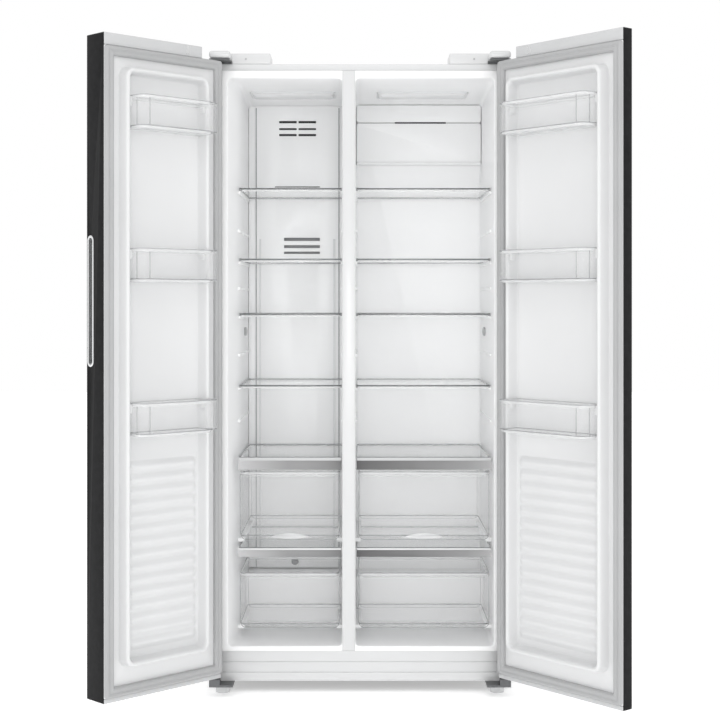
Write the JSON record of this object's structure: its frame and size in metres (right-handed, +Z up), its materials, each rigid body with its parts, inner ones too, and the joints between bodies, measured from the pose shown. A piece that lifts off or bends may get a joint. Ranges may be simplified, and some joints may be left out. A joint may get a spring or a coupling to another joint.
{
  "type": "side by side refrigerator",
  "caption": "Side by side refrigerator with two open doors, clear door bins, glass shelves with bright trims and clear drawers.",
  "frame": {"origin": "centre of the footprint of the whole object, doors open as it stands, on the floor", "axes": "+X to the right seen from the front, +Y to the back, +Z up"},
  "size_m": [1.4106, 0.9484, 1.785],
  "materials": {
    "white_steel": "gloss white baked enamel",
    "zinc_steel": "zinc coated, dull",
    "foam": "rigid blown foam",
    "white_liner": "moulded, satin gloss",
    "lamp_lens": "frosted lens",
    "aluminium_fins": "mill finish",
    "dark_steel": "dark grey coated steel",
    "black_paint": "gloss black",
    "grey_gasket": "soft matt grey seal",
    "light_grey_cap": "light grey moulded",
    "silver_grip": "satin silver",
    "foot_grey": "moulded light grey",
    "fan_plastic": "black moulded",
    "clear_plastic": "clear moulded polystyrene",
    "bright_trim": "bright metallised strip",
    "shelf_glass": "clear toughened glass"
  },
  "bodies": {
    "cabinet": {"outer_wrap": "white_steel", "back_panel": "white_steel", "bottom_rail": "white_steel", "centre_mullion": "white_steel", "foam_insulation": "foam", "freezer_liner": "white_liner", "fridge_liner": "white_liner", "freezer_duct_cover": "white_liner", "fridge_duct_cover": "white_liner", "ceiling_lamps": "lamp_lens", "evaporator": "aluminium_fins", "fan_motor": "fan_plastic", "base_pan": "zinc_steel", "machine_cover": "zinc_steel", "compressor": "dark_steel", "door_hinges": "dark_steel", "hinge_covers": "white_liner"},
    "fan": {"evaporator_fan": "fan_plastic"},
    "left_foot": {"left_foot": "foot_grey"},
    "right_foot": {"right_foot": "foot_grey"},
    "rollers": {"rear_rollers": "foot_grey"},
    "left_door": {"left_door_bottom_cap": "light_grey_cap", "left_door_foam": "foam", "left_door_gasket": "grey_gasket", "left_door_grip": "silver_grip", "left_door_liner": "white_liner", "left_door_panel": "black_paint", "left_door_top_cap": "light_grey_cap"},
    "right_door": {"right_door_bottom_cap": "light_grey_cap", "right_door_foam": "foam", "right_door_gasket": "grey_gasket", "right_door_liner": "white_liner", "right_door_panel": "black_paint", "right_door_top_cap": "light_grey_cap"},
    "left_bin_top": {"left_bin_top": "clear_plastic"},
    "left_bin_middle": {"left_bin_middle": "clear_plastic"},
    "left_bin_bottom": {"left_bin_bottom": "clear_plastic"},
    "right_bin_top": {"right_bin_top": "clear_plastic"},
    "right_bin_middle": {"right_bin_middle": "clear_plastic"},
    "right_bin_bottom": {"right_bin_bottom": "clear_plastic"},
    "freezer_shelf_1": {"freezer_shelf_1": "shelf_glass"},
    "freezer_shelf_2": {"freezer_shelf_2": "shelf_glass"},
    "freezer_shelf_3": {"freezer_shelf_3": "shelf_glass"},
    "freezer_shelf_4": {"freezer_shelf_4": "shelf_glass"},
    "freezer_trim_shelf_upper": {"freezer_trim_shelf_upper": "shelf_glass", "freezer_shelf_trim_upper": "bright_trim"},
    "freezer_trim_shelf_lower": {"freezer_trim_shelf_lower": "shelf_glass", "freezer_shelf_trim_lower": "bright_trim"},
    "freezer_drawer_upper": {"freezer_drawer_upper": "clear_plastic"},
    "freezer_drawer_lower": {"freezer_drawer_lower": "clear_plastic"},
    "fridge_shelf_1": {"fridge_shelf_1": "shelf_glass"},
    "fridge_shelf_2": {"fridge_shelf_2": "shelf_glass"},
    "fridge_shelf_3": {"fridge_shelf_3": "shelf_glass"},
    "fridge_shelf_4": {"fridge_shelf_4": "shelf_glass"},
    "fridge_trim_shelf_upper": {"fridge_trim_shelf_upper": "shelf_glass", "fridge_shelf_trim_upper": "bright_trim"},
    "fridge_trim_shelf_lower": {"fridge_trim_shelf_lower": "shelf_glass", "fridge_shelf_trim_lower": "bright_trim"},
    "fridge_drawer_upper": {"fridge_drawer_upper": "clear_plastic"},
    "fridge_drawer_lower": {"fridge_drawer_lower": "clear_plastic"}
  },
  "joints": [
    {"name": "left_door_swing", "type": "hinge", "parent": "cabinet", "child": "left_door", "pos_m": [-0.39788, -0.12379, 0.9], "axis": [0, 0, -1], "range_deg": [-135.5, 2]},
    {"name": "right_door_swing", "type": "hinge", "parent": "cabinet", "child": "right_door", "pos_m": [0.41412, -0.12379, 0.9], "axis": [0, 0, 1], "range_deg": [-130, 7.5]},
    {"name": "fan_spin", "type": "hinge", "parent": "cabinet", "child": "fan", "pos_m": [-0.18888, 0.38921, 1.15], "axis": [0, 1, 0], "continuous": true},
    {"name": "left_foot_turn", "type": "hinge", "parent": "cabinet", "child": "left_foot", "pos_m": [-0.37488, -0.07379, 0.02], "axis": [0, 0, 1], "continuous": true},
    {"name": "right_foot_turn", "type": "hinge", "parent": "cabinet", "child": "right_foot", "pos_m": [0.39112, -0.07379, 0.02], "axis": [0, 0, 1], "continuous": true},
    {"name": "rollers_roll", "type": "hinge", "parent": "cabinet", "child": "rollers", "pos_m": [0.00812, 0.43921, 0.015], "axis": [1, 0, 0], "continuous": true},
    {"name": "left_bin_top_lift", "type": "slide", "parent": "left_door", "child": "left_bin_top", "axis": [0, 0, 1], "range_m": [0, 0.04]},
    {"name": "left_bin_middle_lift", "type": "slide", "parent": "left_door", "child": "left_bin_middle", "axis": [0, 0, 1], "range_m": [0, 0.04]},
    {"name": "left_bin_bottom_lift", "type": "slide", "parent": "left_door", "child": "left_bin_bottom", "axis": [0, 0, 1], "range_m": [0, 0.04]},
    {"name": "right_bin_top_lift", "type": "slide", "parent": "right_door", "child": "right_bin_top", "axis": [0, 0, 1], "range_m": [0, 0.04]},
    {"name": "right_bin_middle_lift", "type": "slide", "parent": "right_door", "child": "right_bin_middle", "axis": [0, 0, 1], "range_m": [0, 0.04]},
    {"name": "right_bin_bottom_lift", "type": "slide", "parent": "right_door", "child": "right_bin_bottom", "axis": [0, 0, 1], "range_m": [0, 0.04]},
    {"name": "freezer_shelf_1_slide", "type": "slide", "parent": "cabinet", "child": "freezer_shelf_1", "axis": [0, -1, 0], "range_m": [0, 0.25]},
    {"name": "freezer_shelf_2_slide", "type": "slide", "parent": "cabinet", "child": "freezer_shelf_2", "axis": [0, -1, 0], "range_m": [0, 0.25]},
    {"name": "freezer_shelf_3_slide", "type": "slide", "parent": "cabinet", "child": "freezer_shelf_3", "axis": [0, -1, 0], "range_m": [0, 0.25]},
    {"name": "freezer_shelf_4_slide", "type": "slide", "parent": "cabinet", "child": "freezer_shelf_4", "axis": [0, -1, 0], "range_m": [0, 0.25]},
    {"name": "freezer_trim_shelf_upper_slide", "type": "slide", "parent": "cabinet", "child": "freezer_trim_shelf_upper", "axis": [0, -1, 0], "range_m": [0, 0.25]},
    {"name": "freezer_trim_shelf_lower_slide", "type": "slide", "parent": "cabinet", "child": "freezer_trim_shelf_lower", "axis": [0, -1, 0], "range_m": [0, 0.25]},
    {"name": "freezer_drawer_upper_slide", "type": "slide", "parent": "cabinet", "child": "freezer_drawer_upper", "axis": [0, -1, 0], "range_m": [0, 0.3]},
    {"name": "freezer_drawer_lower_slide", "type": "slide", "parent": "cabinet", "child": "freezer_drawer_lower", "axis": [0, -1, 0], "range_m": [0, 0.22]},
    {"name": "fridge_shelf_1_slide", "type": "slide", "parent": "cabinet", "child": "fridge_shelf_1", "axis": [0, -1, 0], "range_m": [0, 0.25]},
    {"name": "fridge_shelf_2_slide", "type": "slide", "parent": "cabinet", "child": "fridge_shelf_2", "axis": [0, -1, 0], "range_m": [0, 0.25]},
    {"name": "fridge_shelf_3_slide", "type": "slide", "parent": "cabinet", "child": "fridge_shelf_3", "axis": [0, -1, 0], "range_m": [0, 0.25]},
    {"name": "fridge_shelf_4_slide", "type": "slide", "parent": "cabinet", "child": "fridge_shelf_4", "axis": [0, -1, 0], "range_m": [0, 0.25]},
    {"name": "fridge_trim_shelf_upper_slide", "type": "slide", "parent": "cabinet", "child": "fridge_trim_shelf_upper", "axis": [0, -1, 0], "range_m": [0, 0.25]},
    {"name": "fridge_trim_shelf_lower_slide", "type": "slide", "parent": "cabinet", "child": "fridge_trim_shelf_lower", "axis": [0, -1, 0], "range_m": [0, 0.25]},
    {"name": "fridge_drawer_upper_slide", "type": "slide", "parent": "cabinet", "child": "fridge_drawer_upper", "axis": [0, -1, 0], "range_m": [0, 0.3]},
    {"name": "fridge_drawer_lower_slide", "type": "slide", "parent": "cabinet", "child": "fridge_drawer_lower", "axis": [0, -1, 0], "range_m": [0, 0.22]}
  ]
}
